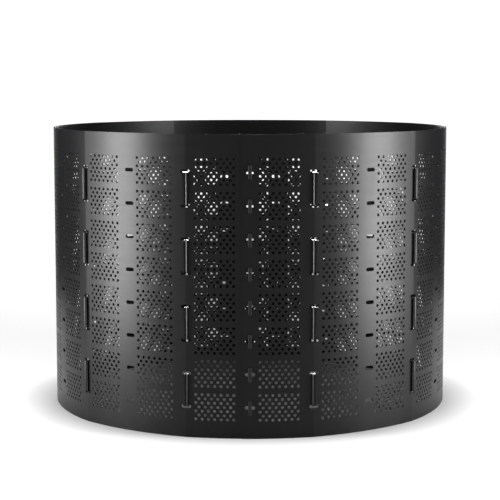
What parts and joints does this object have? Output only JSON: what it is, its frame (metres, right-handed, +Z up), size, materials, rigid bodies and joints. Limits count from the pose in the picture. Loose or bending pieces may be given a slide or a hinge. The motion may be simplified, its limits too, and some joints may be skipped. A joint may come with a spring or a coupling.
{
  "type": "compost bin",
  "caption": "Round open compost bin of perforated black plastic wall panels, lapped and locked with twist keys and stiffened by clips along the folds.",
  "frame": {"origin": "on the ground, in the middle of the ring", "axes": "+Z up along the ring's axis, -Y towards the front seam with its keys"},
  "size_m": [1.1472, 1.1572, 0.804],
  "materials": {
    "wall_sheet": "satin black polypropylene sheet",
    "fold_clip": "moulded black plastic, semi-gloss",
    "twist_key": "moulded dark grey plastic, satin"
  },
  "bodies": {
    "wall": {"left_lap_panel": "wall_sheet", "left_wall_panel_1": "wall_sheet", "left_wall_panel_2": "wall_sheet", "left_wall_panel_3": "wall_sheet", "left_wall_panel_4": "wall_sheet", "left_back_panel": "wall_sheet", "right_lap_panel": "wall_sheet", "right_wall_panel_1": "wall_sheet", "right_wall_panel_2": "wall_sheet", "right_wall_panel_3": "wall_sheet", "right_wall_panel_4": "wall_sheet", "right_back_panel": "wall_sheet", "left_fold_clips_1": "fold_clip", "left_fold_clips_2": "fold_clip", "left_fold_clips_3": "fold_clip", "left_fold_clips_4": "fold_clip", "right_fold_clips_1": "fold_clip", "right_fold_clips_2": "fold_clip", "right_fold_clips_3": "fold_clip", "right_fold_clips_4": "fold_clip"},
    "front_key_1": {"front_key_1": "twist_key"},
    "front_key_2": {"front_key_2": "twist_key"},
    "front_key_3": {"front_key_3": "twist_key"},
    "front_key_4": {"front_key_4": "twist_key"},
    "front_key_5": {"front_key_5": "twist_key"},
    "front_key_6": {"front_key_6": "twist_key"},
    "front_key_7": {"front_key_7": "twist_key"},
    "front_key_8": {"front_key_8": "twist_key"},
    "back_key_1": {"back_key_1": "twist_key"},
    "back_key_2": {"back_key_2": "twist_key"},
    "back_key_3": {"back_key_3": "twist_key"},
    "back_key_4": {"back_key_4": "twist_key"},
    "back_key_5": {"back_key_5": "twist_key"},
    "back_key_6": {"back_key_6": "twist_key"},
    "back_key_7": {"back_key_7": "twist_key"},
    "back_key_8": {"back_key_8": "twist_key"}
  },
  "joints": [
    {"name": "front_key_1_turn", "type": "hinge", "parent": "wall", "child": "front_key_1", "pos_m": [0, -0.57288, 0.706], "axis": [0, -1, 0], "range_deg": [0, 90]},
    {"name": "front_key_2_turn", "type": "hinge", "parent": "wall", "child": "front_key_2", "pos_m": [0, -0.57288, 0.617], "axis": [0, -1, 0], "range_deg": [0, 90]},
    {"name": "front_key_3_turn", "type": "hinge", "parent": "wall", "child": "front_key_3", "pos_m": [0, -0.57288, 0.528], "axis": [0, -1, 0], "range_deg": [0, 90]},
    {"name": "front_key_4_turn", "type": "hinge", "parent": "wall", "child": "front_key_4", "pos_m": [0, -0.57288, 0.439], "axis": [0, -1, 0], "range_deg": [0, 90]},
    {"name": "front_key_5_turn", "type": "hinge", "parent": "wall", "child": "front_key_5", "pos_m": [0, -0.57288, 0.35], "axis": [0, -1, 0], "range_deg": [0, 90]},
    {"name": "front_key_6_turn", "type": "hinge", "parent": "wall", "child": "front_key_6", "pos_m": [0, -0.57288, 0.261], "axis": [0, -1, 0], "range_deg": [0, 90]},
    {"name": "front_key_7_turn", "type": "hinge", "parent": "wall", "child": "front_key_7", "pos_m": [0, -0.57288, 0.172], "axis": [0, -1, 0], "range_deg": [0, 90]},
    {"name": "front_key_8_turn", "type": "hinge", "parent": "wall", "child": "front_key_8", "pos_m": [0, -0.57288, 0.083], "axis": [0, -1, 0], "range_deg": [0, 90]},
    {"name": "back_key_1_turn", "type": "hinge", "parent": "wall", "child": "back_key_1", "pos_m": [0.08567, 0.56718, 0.706], "axis": [0.1383, 0.9904, 0], "range_deg": [0, 90]},
    {"name": "back_key_2_turn", "type": "hinge", "parent": "wall", "child": "back_key_2", "pos_m": [0.08567, 0.56718, 0.617], "axis": [0.1383, 0.9904, 0], "range_deg": [0, 90]},
    {"name": "back_key_3_turn", "type": "hinge", "parent": "wall", "child": "back_key_3", "pos_m": [0.08567, 0.56718, 0.528], "axis": [0.1383, 0.9904, 0], "range_deg": [0, 90]},
    {"name": "back_key_4_turn", "type": "hinge", "parent": "wall", "child": "back_key_4", "pos_m": [0.08567, 0.56718, 0.439], "axis": [0.1383, 0.9904, 0], "range_deg": [0, 90]},
    {"name": "back_key_5_turn", "type": "hinge", "parent": "wall", "child": "back_key_5", "pos_m": [0.08567, 0.56718, 0.35], "axis": [0.1383, 0.9904, 0], "range_deg": [0, 90]},
    {"name": "back_key_6_turn", "type": "hinge", "parent": "wall", "child": "back_key_6", "pos_m": [0.08567, 0.56718, 0.261], "axis": [0.1383, 0.9904, 0], "range_deg": [0, 90]},
    {"name": "back_key_7_turn", "type": "hinge", "parent": "wall", "child": "back_key_7", "pos_m": [0.08567, 0.56718, 0.172], "axis": [0.1383, 0.9904, 0], "range_deg": [0, 90]},
    {"name": "back_key_8_turn", "type": "hinge", "parent": "wall", "child": "back_key_8", "pos_m": [0.08567, 0.56718, 0.083], "axis": [0.1383, 0.9904, 0], "range_deg": [0, 90]}
  ]
}
